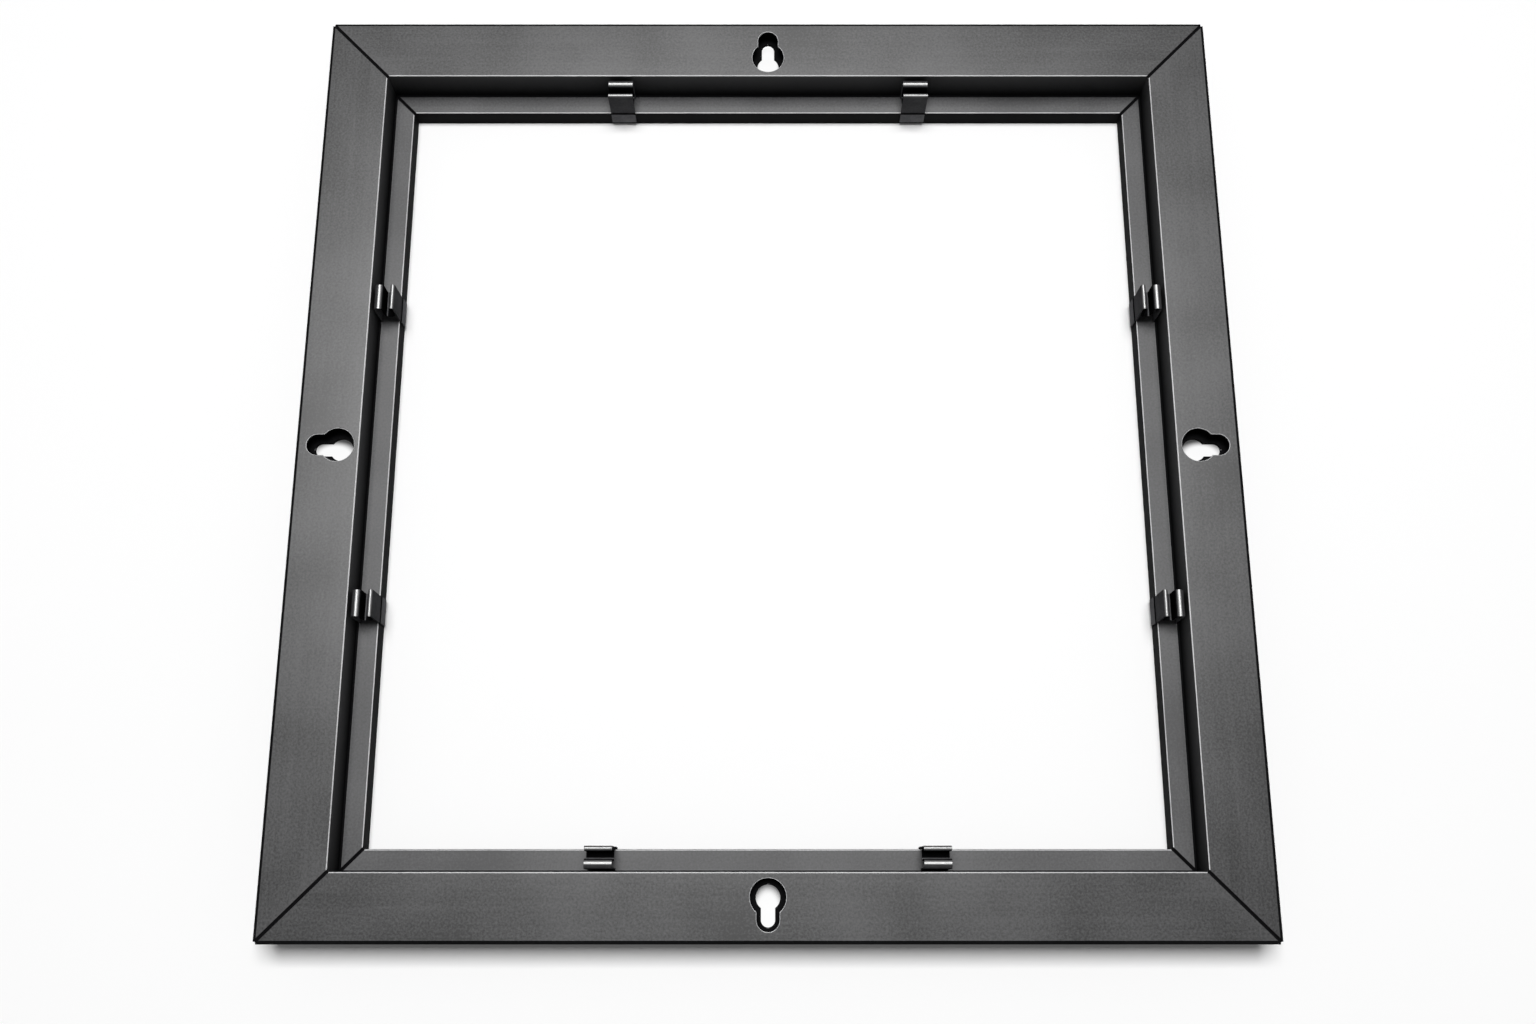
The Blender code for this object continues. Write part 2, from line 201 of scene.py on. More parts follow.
@dataclass(frozen=True, kw_only=True)
class Finish:
    """A patterned surface with two tones, a roughness that strays and a fine relief."""

    name: str
    dark: str
    light: str
    roughness: float
    spread: float                 # how far the roughness strays
    bump: float
    specular: float = 0.5
    metallic: float = 0.0

    def patterns(self, tree: bpy.types.NodeTree, place: bpy.types.NodeSocket) -> Sockets:
        """Add the patterns, which every kind of finish has of its own."""
        raise NotImplementedError

    def material(self) -> bpy.types.Material:
        """Build the finish's material.

        Returns:
            The material, in the coordinates of the piece that wears it.
        """
        material, tree = fresh_material(self.name)
        place = add_node(tree, "ShaderNodeTexCoord", {}).outputs["Object"]
        share, pattern = self.patterns(tree, place)
        colour = add_node(tree, "ShaderNodeMix", {
            "Factor": share, 6: linear(self.dark), 7: linear(self.light)}, data_type="RGBA")
        rough = add_node(tree, "ShaderNodeMapRange", {
            "Value": pattern, "From Min": NOISE_RANGE[0], "From Max": NOISE_RANGE[1],
            "To Min": self.roughness - self.spread, "To Max": self.roughness + self.spread})
        relief = add_node(tree, "ShaderNodeBump", {
            "Height": pattern, "Strength": self.bump, "Distance": RELIEF_DEPTH})
        shader = add_node(tree, "ShaderNodeBsdfPrincipled", {
            "Base Color": colour.outputs[2], "Metallic": self.metallic,
            "Roughness": rough.outputs["Result"], "Specular IOR Level": self.specular,
            "Normal": relief.outputs["Normal"]})
        add_node(tree, "ShaderNodeOutputMaterial", {"Surface": shader.outputs["BSDF"]})
        return material


@dataclass(frozen=True, kw_only=True)
class SatinCoating(Finish):
    """Extruded or rolled metal under a thin black coat.

    The long lines of the metal show through as faint streaks, and the fine grain of the coat breaks
    the reflection of the lamps into a dull grey sheen.
    """

    spread: float = 0.05
    grain_mm: float = 0.9             # coarser than the real grit of about 0.2 mm, so that it shows
    streak_width_mm: float = 1.6      # drawn wider than the real die lines, so that they show
    streak_length_mm: float = 90.0
    streak_share: float = 0.2         # the rest of the pattern is grain
    cloud_mm: float = 45.0            # slow change of the coat's thickness
    fade_mm: tuple[float, float] | None = None  # heights between which it goes from dark to light

    def patterns(self, tree: bpy.types.NodeTree, place: bpy.types.NodeSocket) -> Sockets:
        """Add the coat's streaks and grain, and its clouds or its fade.

        Args:
            tree: The material's node tree.
            place: Where a point lies on the piece.  The streaks follow its X axis.

        Returns:
            The share of the light tone, and the streaks and grain together.
        """
        along = 1.0 / (self.streak_length_mm * MM)
        across = 1.0 / (self.streak_width_mm * MM)
        drawn = add_node(tree, "ShaderNodeMapping", {
            "Vector": place, "Scale": (along, across, across)})
        streak = add_node(tree, "ShaderNodeTexNoise", {
            "Vector": drawn.outputs["Vector"], "Scale": 1.0, "Detail": 3.0, "Roughness": 0.6})
        grain = add_node(tree, "ShaderNodeTexNoise", {
            "Vector": place, "Scale": 1.0 / (self.grain_mm * MM), "Detail": 2.0, "Roughness": 0.7})
        lines = add_node(tree, "ShaderNodeMix", {
            "Factor": self.streak_share, 2: grain.outputs["Fac"], 3: streak.outputs["Fac"],
        }, data_type="FLOAT").outputs[0]
        if self.fade_mm is None:
            cloud = add_node(tree, "ShaderNodeTexNoise", {
                "Vector": place, "Scale": 1.0 / (self.cloud_mm * MM), "Detail": 2.0})
            tone = add_node(tree, "ShaderNodeMath", {0: lines, 1: cloud.outputs["Fac"]},
                            operation="ADD").outputs["Value"]
            low, high = NOISE_SUM_RANGE
        else:
            tone = add_node(tree, "ShaderNodeSeparateXYZ", {"Vector": place}).outputs["Z"]
            low, high = (height * MM for height in self.fade_mm)
        share = add_node(tree, "ShaderNodeMapRange", {
            "Value": tone, "From Min": low, "From Max": high})
        return share.outputs["Result"], lines


@dataclass(frozen=True, kw_only=True)
class BareMetal(Finish):
    """Cast, plated or polished metal.

    Bright and coloured only by what it reflects, with a mottled skin that varies its gloss.
    """

    mottle_mm: float
    metallic: float = 1.0

    def patterns(self, tree: bpy.types.NodeTree, place: bpy.types.NodeSocket) -> Sockets:
        """Add the mottle, which is even in all directions.

        Args:
            tree: The material's node tree.
            place: Where a point lies on the piece.

        Returns:
            The mottle, for the tone and for the gloss.
        """
        mottle = add_node(tree, "ShaderNodeTexNoise", {
            "Vector": place, "Scale": 1.0 / (self.mottle_mm * MM), "Detail": 4.0, "Roughness": 0.6})
        return mottle.outputs["Fac"], mottle.outputs["Fac"]


@dataclass(frozen=True)
class WhiteSweep:
    """Matt white paper on the floor, which keeps the shadow at the foot of the frame.

    Under each keyhole a soft spot of plain white is painted on the paper, a painted pool of light,
    and the far paper stays evenly white.
    """

    name: str = "white_paper_floor"
    colour: str = "#f7f7f7"
    glow: float = 0.05                # share of plain white beside the frame
    spot_glow: float = 0.96           # the same in the spots, which are painted light
    spot_inset: float = 8.6 * MM      # from the frame's outer edge to the middle of a spot
    spot_shift: float = 2.8 * MM      # the spots lie this far behind the keyholes
    spot_squeeze: float = 0.6         # width of a spot to its length along the keyhole
    spot_reach: tuple[float, float] = (3.4 * MM, 6.4 * MM)  # where a spot begins to fade and ends
    far_reach: tuple[float, float] = (0.45, 1.1)            # where the far white begins and is full

    def material(self, half: float) -> bpy.types.Material:
        """Build the floor's material.

        Args:
            half: Half of the frame's side.

        Returns:
            The material, in the frame's own coordinates.
        """
        material, tree = fresh_material(self.name)
        place = add_node(tree, "ShaderNodeTexCoord", {}).outputs["Object"]
        moved = add_node(tree, "ShaderNodeMapping", {
            "Vector": place, "Location": (0.0, -self.spot_shift, 0.0)})
        parts = add_node(tree, "ShaderNodeSeparateXYZ", {"Vector": moved.outputs["Vector"]})
        reach_x, reach_y = (
            add_node(tree, "ShaderNodeMath", {0: parts.outputs[axis]},
                     operation="ABSOLUTE").outputs["Value"] for axis in "XY")
        far_side, near_side = (
            add_node(tree, "ShaderNodeMath", {0: reach_x, 1: reach_y},
                     operation=choice).outputs["Value"] for choice in ("MAXIMUM", "MINIMUM"))
        along = add_node(tree, "ShaderNodeMath", {
            0: far_side, 1: self.spot_squeeze}, operation="MULTIPLY")
        quarter = add_node(tree, "ShaderNodeCombineXYZ", {
            "X": along.outputs["Value"], "Y": near_side})
        middle = (half - self.spot_inset) * self.spot_squeeze
        from_spot = add_node(tree, "ShaderNodeVectorMath", {
            0: quarter.outputs["Vector"], 1: (middle, 0.0, 0.0)}, operation="DISTANCE")
        # Painted light: a soft white spot under each keyhole.
        spot = add_node(tree, "ShaderNodeMapRange", {
            "Value": from_spot.outputs["Value"],
            "From Min": self.spot_reach[0], "From Max": self.spot_reach[1],
            "To Min": self.spot_glow, "To Max": self.glow}, interpolation_type="SMOOTHSTEP")
        from_frame = add_node(tree, "ShaderNodeVectorMath", {0: place}, operation="LENGTH")
        far = add_node(tree, "ShaderNodeMapRange", {
            "Value": from_frame.outputs["Value"],
            "From Min": self.far_reach[0], "From Max": self.far_reach[1],
            "To Min": self.glow, "To Max": 1.0}, interpolation_type="SMOOTHSTEP")
        glow = add_node(tree, "ShaderNodeMath", {
            0: spot.outputs["Result"], 1: far.outputs["Result"]}, operation="MAXIMUM")
        share = add_node(tree, "ShaderNodeMath", {
            0: add_seen(tree), 1: glow.outputs["Value"]}, operation="MULTIPLY")
        paper = add_node(tree, "ShaderNodeBsdfDiffuse", {"Color": linear(self.colour)})
        white = add_node(tree, "ShaderNodeEmission", {"Color": linear(PLAIN_WHITE), "Strength": 1.0})
        surface = add_node(tree, "ShaderNodeMixShader", {
            0: share.outputs["Value"], 1: paper.outputs["BSDF"], 2: white.outputs["Emission"]})
        add_node(tree, "ShaderNodeOutputMaterial", {"Surface": surface.outputs["Shader"]})
        return material


# Die lines and a fine grain spread the lamps into a soft grey sheen over near black.
RAIL_FLAT = SatinCoating(name="satin_black_coated_aluminium", dark="#0c0c0d", light="#3a3a3b",
                         roughness=0.315, spread=0.03, specular=0.35, bump=0.12)
# Painted sheen: the ledge gets a greyer, duller copy of the coat, paler than the border, that stands
# in for the sheen it would catch.
RAIL_LEDGE = SatinCoating(name="painted_sheen_ledge_coated_aluminium", dark="#414142", light="#555556",
                          roughness=0.42, specular=0.22, bump=0.12)
# Painted shade: a near-black copy of the coat that throws almost nothing back, on the walls,
# undersides, mitre grooves, the step wall's foot, the outer edge and the lower half of each edge
# round.
RAIL_WALL = SatinCoating(name="painted_shade_black_coated_aluminium", dark="#0e0e0f", light="#141415",
                         roughness=0.6, specular=0.01, bump=0.12)
# Painted shade on the step wall: near black at its foot, paler towards the border's edge.
RAIL_STEP = replace(RAIL_WALL, name="painted_shade_step_coated_aluminium", dark="#0c0c0d",
                    light="#3b3b3c", fade_mm=(11.0, 27.4))
# Painted highlight: the inner edges and the keyhole rims get a pale copy of the coat, so they show
# as pale lines.
RAIL_EDGE = SatinCoating(name="painted_highlight_edge_coated_aluminium", dark="#b2b2b4", light="#cececf",
                         roughness=0.36, specular=0.5, bump=0.05)
# Black oxide on rolled strip gives an even dark grey without gloss.
CLIP_STRIP = SatinCoating(name="black_oxide_spring_steel", dark="#363637", light="#424244",
                          roughness=0.4, specular=0.0, bump=0.04, grain_mm=0.8,
                          streak_width_mm=0.7, streak_length_mm=8.0, cloud_mm=6.0)
# Painted shade: a near-black copy of the oxide inside the fold and on the joggle.
CLIP_FOLD = replace(CLIP_STRIP, name="painted_shade_fold_oxide_spring_steel", dark="#080809",
                    light="#0e0e0f")
# Painted light: a paler copy of the oxide on the tongue over the lip and on a strip of the valley.
CLIP_PAINTED_LIGHT = replace(CLIP_STRIP, name="painted_light_oxide_spring_steel", dark="#535355",
                    light="#626264")
# Painted highlight: bands of bright bare steel on the crests, placed where the highlights fall,
# which also reflect the lamps.
CLIP_BEND = BareMetal(name="painted_highlight_spring_steel", dark="#606060", light="#6c6c6c",
                      roughness=0.4, spread=0.05, bump=0.03, mottle_mm=1.2)
# A tumbled casting looks dull silver grey, with a mottled skin.
KEY_CASTING = BareMetal(name="die_cast_zinc", dark="#8b8c8f", light="#a9abae",
                        roughness=0.46, spread=0.08, bump=0.25, mottle_mm=2.2)
# Clear zinc plating looks bright and slightly milky.
SCREW_PLATING = BareMetal(name="zinc_plated_steel", dark="#a4a6a8", light="#c6c8ca",
                          roughness=0.3, spread=0.07, bump=0.05, mottle_mm=1.5)


def rounded(points: Sequence[tuple[float, float, float]], closed: bool,
            arc_step: float) -> list[Vector]:
    """Round the corners of a path.

    Args:
        points: Corners as (a, b, radius).  An arc takes at most half of its shorter side.
        closed: Whether the last corner joins the first.
        arc_step: Most that one straight piece of an arc turns, in radians.

    Returns:
        The path's points in order.
    """
    path = []
    count = len(points)
    for i, (a, b, radius) in enumerate(points):
        corner = Vector((a, b))
        is_end = not closed and i in (0, count - 1)
        if is_end or radius <= 0.0:
            path.append(corner)
            continue
        before = Vector(points[i - 1][:2]) - corner
        after = Vector(points[(i + 1) % count][:2]) - corner
        half = before.angle(after) / 2.0
        reach = min(radius / math.tan(half), before.length / 2.0, after.length / 2.0)
        bend = reach * math.tan(half)
        middle = (before.normalized() + after.normalized()).normalized()
        centre = corner + middle * bend / math.sin(half)
        start = corner + before.normalized() * reach - centre
        sweep = start.angle_signed(corner + after.normalized() * reach - centre)
        steps = max(2, math.ceil(abs(sweep) / arc_step))
        for step in range(steps + 1):
            path.append(centre + Matrix.Rotation(-sweep * step / steps, 2) @ start)
    return path


def circle(radius: float, steps: int, x: float = 0.0, y: float = 0.0) -> list[tuple[float, float]]:
    """Return points round a circle in plan."""
    turn = 2.0 * math.pi / steps
    return [(x + radius * math.cos(i * turn), y + radius * math.sin(i * turn)) for i in range(steps)]


def quarter_round(radius: float) -> list[tuple[float, float]]:
    """Return points along a quarter round, from (radius, 0) to (0, radius)."""
    angles = [QUARTER_TURN * step / ARC_STEPS for step in range(ARC_STEPS + 1)]
    return [(radius * (1.0 - math.sin(a)), radius * (1.0 - math.cos(a))) for a in angles]


def add_shell(bm: bmesh.types.BMesh, rings: Sequence[Sequence[bmesh.types.BMVert]]) -> None:
    """Join rings of equal length into a closed shell.

    Args:
        bm: The bmesh that holds the rings.
        rings: The rings in order.  The first and the last are capped.
    """
    for low, high in zip(rings, rings[1:]):
        for i in range(len(low)):
            j = (i + 1) % len(low)
            bm.faces.new((low[i], low[j], high[j], high[i]))
    bm.faces.new(rings[0])
    bm.faces.new(rings[-1])


def add_loft(bm: bmesh.types.BMesh, levels: Sequence[Level]) -> None:
    """Add a closed shell through outlines of equal length."""
    add_shell(bm, [[bm.verts.new((x, y, z)) for x, y in points] for z, points in levels])


def mesh_from(bm: bmesh.types.BMesh, name: str) -> bpy.types.Mesh:
    """Turn a bmesh with closed shells into a mesh whose faces point out.

    Args:
        bm: The bmesh, which is freed.
        name: The mesh's name.

    Returns:
        The new mesh.
    """
    bmesh.ops.recalc_face_normals(bm, faces=bm.faces)
    mesh = bpy.data.meshes.new(name)
    bm.to_mesh(mesh)
    bm.free()
    return mesh


def add_object(name: str, data: bpy.types.ID, place: Matrix = Matrix()) -> bpy.types.Object:
    """Add an object to the scene.

    Args:
        name: The object's name.
        data: The mesh, lamp or camera that it holds.
        place: Where it stands.

    Returns:
        The new object.
    """
    obj = bpy.data.objects.new(name, data)
    bpy.context.scene.collection.objects.link(obj)
    obj.matrix_world = place
    return obj


def baked(obj: bpy.types.Object, name: str) -> bpy.types.Mesh:
    """Apply an object's modifiers and remove the object.

    Args:
        obj: The object with its modifiers.
        name: The new mesh's name.

    Returns:
        The mesh that the modifiers give.
    """
    bpy.context.view_layer.update()
    graph = bpy.context.evaluated_depsgraph_get()
    mesh = bpy.data.meshes.new_from_object(
        obj.evaluated_get(graph), preserve_all_data_layers=True, depsgraph=graph)
    mesh.name = name
    bpy.data.objects.remove(obj, do_unlink=True)
    return mesh


def cut(mesh: bpy.types.Mesh, cutter_mesh: bpy.types.Mesh) -> bpy.types.Mesh:
    """Cut shells out of a mesh.

    Args:
        mesh: The mesh to cut.
        cutter_mesh: The shells to take away.

    Returns:
        What is left.
    """
    blank = add_object(mesh.name + "_blank", mesh)
    cutter = add_object(mesh.name + "_cutter", cutter_mesh)
    boolean = blank.modifiers.new("cut", "BOOLEAN")
    boolean.operation = "DIFFERENCE"
    boolean.solver = "EXACT"
    boolean.object = cutter
    result = baked(blank, mesh.name)
    bpy.data.objects.remove(cutter, do_unlink=True)
    return result


def smooth(mesh: bpy.types.Mesh, crisp: float) -> bpy.types.Mesh:
    """Shade a mesh so that its rounds are smooth and its flats stay flat.

    Args:
        mesh: The mesh to shade.
        crisp: Edges that turn further than this angle stay crisp.

    Returns:
        The shaded mesh.
    """
    mesh.shade_smooth()
    mesh.set_sharp_from_angle(angle=crisp)
    obj = add_object(mesh.name + "_shaded", mesh)
    weighted = obj.modifiers.new("flats", "WEIGHTED_NORMAL")
    weighted.keep_sharp = True
    weighted.weight = 100
    return baked(obj, mesh.name)


def mount(piece: bpy.types.Object, body: str, node: str) -> None:
    """Let a piece stand for a CAD node.

    Args:
        piece: The finer piece.
        body: The body that it moves with.
        node: The CAD node that it replaces.
    """
    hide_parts(node)
    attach(piece, body)
    LOG.info("%s stands for %s on %s", piece.name, node, body)


def wear(pieces: Iterable[bpy.types.Object], finishes: Iterable[Finish]) -> None:
    """Put finishes on pieces.

    Args:
        pieces: Pieces whose meshes have no material yet.
        finishes: The finishes in the order of the material slots.
    """
    materials = [finish.material() for finish in finishes]
    for piece in pieces:
        for material in materials:
            piece.data.materials.append(material)


@dataclass
class RailFrame:
    """Four mitred rails of one extruded section, each with a stepped keyhole."""

    half: float                       # half of the frame's side
    height: float                     # from the front edge to the border
    lip_face: float                   # u of the face round the sight opening
    border: float = 25.0 * MM
    step_depth: float = 18.0 * MM     # from the border down to the ledge
    web_depth: float = 8.2 * MM       # from the border down to the floor of the chamber
    wall: float = 1.6 * MM
    outer_radius: float = 1.3 * MM
    edge_radius: float = 0.6 * MM
    foot_radius: float = 1.15 * MM    # where the step wall meets the ledge
    mitre_gap: float = 0.02 * MM
    mitre_groove: float = 1.34 * MM   # width of the groove between two rails
    mitre_break: float = 0.5 * MM     # its depth
    recess: tuple[float, float] = (13.2 * MM, 8.3 * MM)     # head diameter and slot width
    latch: tuple[float, float] = (9.0 * MM, 5.2 * MM)       # the same in the web
    keyhole_travel: float = 7.8 * MM  # between the middles of the head and of the slot's end
    keyhole_shift: float = 1.0 * MM   # inward from the middle of the border
    keyhole_round: float = 0.3 * MM
    screw_offset: float = 36.0 * MM   # from the frame's corner, along the rail
    screw_hole: float = 4.6 * MM
    clip_spacing: float = 124.0 * MM
    hook_slot: tuple[float, float] = (10.9 * MM, 1.2 * MM)  # width and height
    hook_z: float = 2.8 * MM
    arc_step: float = math.radians(15.0)
    round_steps: int = 64
    overcut: float = 0.5 * MM         # how far a cutter stands out of what it cuts
    crisp: float = math.radians(30.0)
    level: float = 0.99               # least upward part of a flat's normal
    outer_level: float = 0.999        # the same beside the outer edge
    edge_level: float = 0.55          # least upward part of a painted-highlight edge's normal; below it is painted shade
    edge_skew: float = 0.02           # most that a painted-highlight edge's normal turns along the rail
    step_facing: float = 0.9          # least part of the step wall's normal to the opening
    step_reach: float = 0.3 * MM      # how near the step wall a face of it lies
    pieces: dict[Side, bpy.types.Object] = field(default_factory=dict)

    @property
    def ledge_z(self) -> float:
        """Height of the ledge above the front edge."""
        return self.height - self.step_depth

    @property
    def web_z(self) -> float:
        """Height of the web's upper face."""
        return self.height - self.web_depth

    @property
    def clip_places(self) -> tuple[float, float]:
        """Where the two clips stand along the rail."""
        return -self.clip_spacing / 2.0, self.clip_spacing / 2.0

    def section(self) -> list[list[Vector]]:
        """Draw the rail's section.

        Returns:
            The outline and the chamber as loops of (u, z).
        """
        low = self.web_z - self.wall
        outline = [
            (0.0, low, self.edge_radius),
            (0.0, self.height, self.outer_radius),
            (self.border, self.height, self.edge_radius),
            (self.border, self.ledge_z, self.foot_radius),
            (self.lip_face, self.ledge_z, self.edge_radius),
            (self.lip_face, 0.0, 0.0),
            (self.lip_face - self.wall, 0.0, 0.0),
            (self.lip_face - self.wall, self.ledge_z - self.wall, 0.0),
            (self.border, self.ledge_z - self.wall, 0.0),
            (self.border, 0.0, 0.0),
            (self.border - self.wall, 0.0, 0.0),
            (self.border - self.wall, low, 0.0),
        ]
        chamber = [(u, z, 0.0) for u, z in (
            (self.wall, self.web_z), (self.border - self.wall, self.web_z),
            (self.border - self.wall, self.height - self.wall),
            (self.wall, self.height - self.wall))]
        return [rounded(loop, True, self.arc_step) for loop in (outline, chamber)]

    def keyhole_levels(self, shape: tuple[float, float], face_z: float,
                       under_z: float) -> list[Level]:
        """Draw a keyhole cutter with a rounded rim.

        Args:
            shape: Head diameter and slot width.
            face_z: Height of the face that it opens in.
            under_z: Height of the face that it comes out of.

        Returns:
            Outlines from the lowest to the highest.
        """
        recess_length = self.recess[0] / 2.0 + self.keyhole_travel + self.recess[1] / 2.0
        head_u = self.border / 2.0 + self.keyhole_shift + (recess_length - self.recess[0]) / 2.0
        profile = [(under_z - self.overcut, 0.0)]
        profile += [(face_z - drop, growth) for drop, growth in quarter_round(self.keyhole_round)]
        profile.append((face_z + self.overcut, self.keyhole_round))
        levels = []
        for z, growth in profile:
            head, slot = (size / 2.0 + growth for size in shape)
            opening = math.asin(slot / head)
            points = []
            for step in range(self.round_steps + 1):
                angle = opening + (2.0 * math.pi - 2.0 * opening) * step / self.round_steps
                points.append((head * math.sin(angle), head * math.cos(angle)))
            for step in range(self.round_steps // 2 + 1):
                angle = -QUARTER_TURN + 2.0 * math.pi * step / self.round_steps
                points.append((slot * math.sin(angle),
                               self.keyhole_travel + slot * math.cos(angle)))
            levels.append((z, [(x, self.half - head_u + y) for x, y in points]))
        return levels

    def blank(self) -> bpy.types.Mesh:
        """Extrude the top rail between its mitres.

        Returns:
            The closed mesh, with both end faces raised so that a groove is left at the mitre.
        """
        bm = bmesh.new()
        setback = self.mitre_groove / 2.0 * math.sqrt(2.0)
        twin = {}
        boundary = []
        for loop in self.section():
            near = [bm.verts.new((u + setback - self.half, self.half - u, z)) for u, z in loop]
            far = [bm.verts.new((self.half - setback - u, self.half - u, z)) for u, z in loop]
            twin.update(zip(near, far))
            for i in range(len(loop)):
                j = (i + 1) % len(loop)
                bm.faces.new((near[i], near[j], far[j], far[i]))
                boundary.append(bm.edges.get((near[i], near[j])))
        filled = bmesh.ops.triangle_fill(bm, edges=boundary, use_beauty=True)
        ends = [item for item in filled["geom"] if isinstance(item, bmesh.types.BMFace)]
        ends += [bm.faces.new([twin[vert] for vert in reversed(face.verts)]) for face in list(ends)]
        bmesh.ops.recalc_face_normals(bm, faces=bm.faces)
        bmesh.ops.inset_region(bm, faces=ends, use_boundary=True, use_even_offset=True,
                               thickness=self.mitre_break,
                               depth=(self.mitre_groove - self.mitre_gap) / 2.0)
        return mesh_from(bm, "rail")

    def cutters(self) -> bpy.types.Mesh:
        """Build what is cut from the top rail.

        Returns:
            Shells for the stepped keyhole, the screw holes and the hook slots.
        """
        holes = bmesh.new()
        under_web = self.web_z - self.wall
        add_loft(holes, self.keyhole_levels(self.recess, self.height, self.height - self.wall))
        add_loft(holes, self.keyhole_levels(self.latch, self.web_z, under_web))
        screw_y = self.half - self.border / 2.0
        for x in (self.screw_offset - self.half, self.half - self.screw_offset):
            ring = circle(self.screw_hole / 2.0, self.round_steps // 2, x, screw_y)
            add_loft(holes, [(under_web - self.overcut, ring), (self.web_z + self.overcut, ring)])
        near_y = self.half - self.lip_face - self.overcut
        far_y = near_y + self.wall + 2.0 * self.overcut
        for x in self.clip_places:
            low_x, high_x = x - self.hook_slot[0] / 2.0, x + self.hook_slot[0] / 2.0
            slot = [(low_x, near_y), (high_x, near_y), (high_x, far_y), (low_x, far_y)]
            add_loft(holes, [(self.hook_z + side * self.hook_slot[1] / 2.0, slot)
                             for side in (-1, 1)])
        return mesh_from(holes, "rail_holes")

    def mesh(self) -> bpy.types.Mesh:
        """Build the top rail where it lies in the frame.

        Returns:
            The shaded mesh, with a material index on every face.
        """
        mesh = smooth(cut(self.blank(), self.cutters()), self.crisp)
        for face in mesh.polygons:
            face.material_index = self.face_kind(face).value
        return mesh

    def face_kind(self, face: bpy.types.MeshPolygon) -> RailFace:
        """Tell which finish a face of the top rail wears.

        Args:
            face: A face of the finished mesh.

        Returns:
            The finish.
        """
        u = self.half - face.center.y
        z = face.center.z
        upward = face.normal.z
        on_border = z > self.height - self.edge_radius
        on_ledge = u > self.border and z > self.ledge_z - self.edge_radius
        on_outer_edge = u < self.outer_radius
        on_step = abs(u - self.border) < self.step_reach and z > self.ledge_z
        # The step wall gets painted shade, darker towards its foot.
        if on_step and face.normal.y < -self.step_facing:
            return RailFace.STEP
        # Flats get the satin coat; the ledge gets its paler copy, a painted sheen.
        if (on_border or on_ledge) and upward > (self.outer_level if on_outer_edge else self.level):
            return RailFace.FLAT if on_border else RailFace.LEDGE
        # Inner edges and keyhole rims get a painted highlight.
        if self.edge_level < upward <= self.level and not on_outer_edge:
            near_foot = self.border < u < self.border + self.foot_radius
            in_border = u < self.border - self.edge_radius
            at_keyhole = on_border and in_border and abs(face.center.x) < self.recess[0]
            inner_edge = abs(face.normal.x) < self.edge_skew and not near_foot
            if at_keyhole or inner_edge:
                return RailFace.EDGE
        # Everything else gets the near-black wall finish, which is painted shade.
        return RailFace.WALL

    def build(self) -> None:
        """Make a rail on every side."""
        mesh = self.mesh()
        for side in Side:
            piece = add_object(f"satin_rail_{side.label}", mesh.copy(), side.turn)
            mount(piece, "frame", f"rail_{side.label}")
            self.pieces[side] = piece

    def dress(self) -> None:
        """Give the flats, ledges, walls, edges and steps their coats."""
        wear(self.pieces.values(), (RAIL_FLAT, RAIL_LEDGE, RAIL_WALL, RAIL_EDGE, RAIL_STEP))


